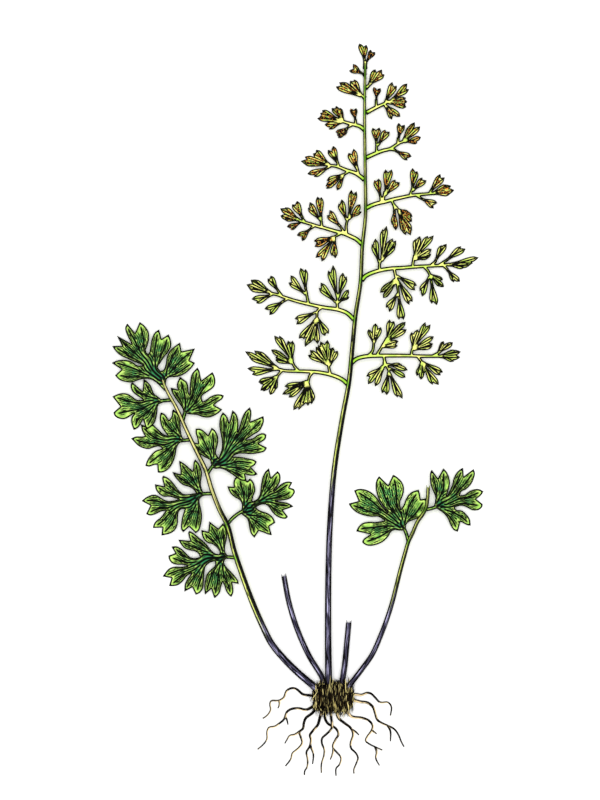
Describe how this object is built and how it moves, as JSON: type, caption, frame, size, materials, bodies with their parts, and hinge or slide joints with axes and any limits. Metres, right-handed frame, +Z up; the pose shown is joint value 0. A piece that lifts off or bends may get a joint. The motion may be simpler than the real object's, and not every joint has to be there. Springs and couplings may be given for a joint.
{
  "type": "bare-rooted jersey fern plant",
  "caption": "Small fern lifted with its roots and laid flat: a tall finely divided fertile frond, short leafy sterile fronds, a scaly rhizome and branched roots.",
  "frame": {"origin": "on the surface under the middle of the rhizome, at its flat underside", "axes": "+Y from the roots to the tip of the tall frond, +X to the right of the plant seen from above, +Z up from the surface it lies on"},
  "size_m": [0.0929, 0.183, 0.0074],
  "materials": {
    "fertile_leaf": "living fern leaf, thin and matte, yellow-green with brown sori",
    "sterile_leaf": "living fern leaf, thin and matte, blue-green with yellow-green margins",
    "stipe": "smooth wiry stipe, slate purple, slightly glossy",
    "rhizome": "dry chaffy scales, brown-black with straw",
    "root": "fine wiry roots, dark brown, matte"
  },
  "bodies": {
    "root": {"rhizome": "rhizome", "fertile_stipe": "stipe", "fertile_blade": "fertile_leaf", "left_stipe": "stipe", "left_blade": "sterile_leaf", "right_stipe": "stipe", "right_blade": "sterile_leaf", "stub_left": "stipe", "stub_right": "stipe", "root_01": "root", "root_02": "root", "root_03": "root", "root_04": "root", "root_05": "root", "root_06": "root", "root_07": "root", "root_08": "root", "root_09": "root", "root_10": "root"}
  },
  "joints": []
}
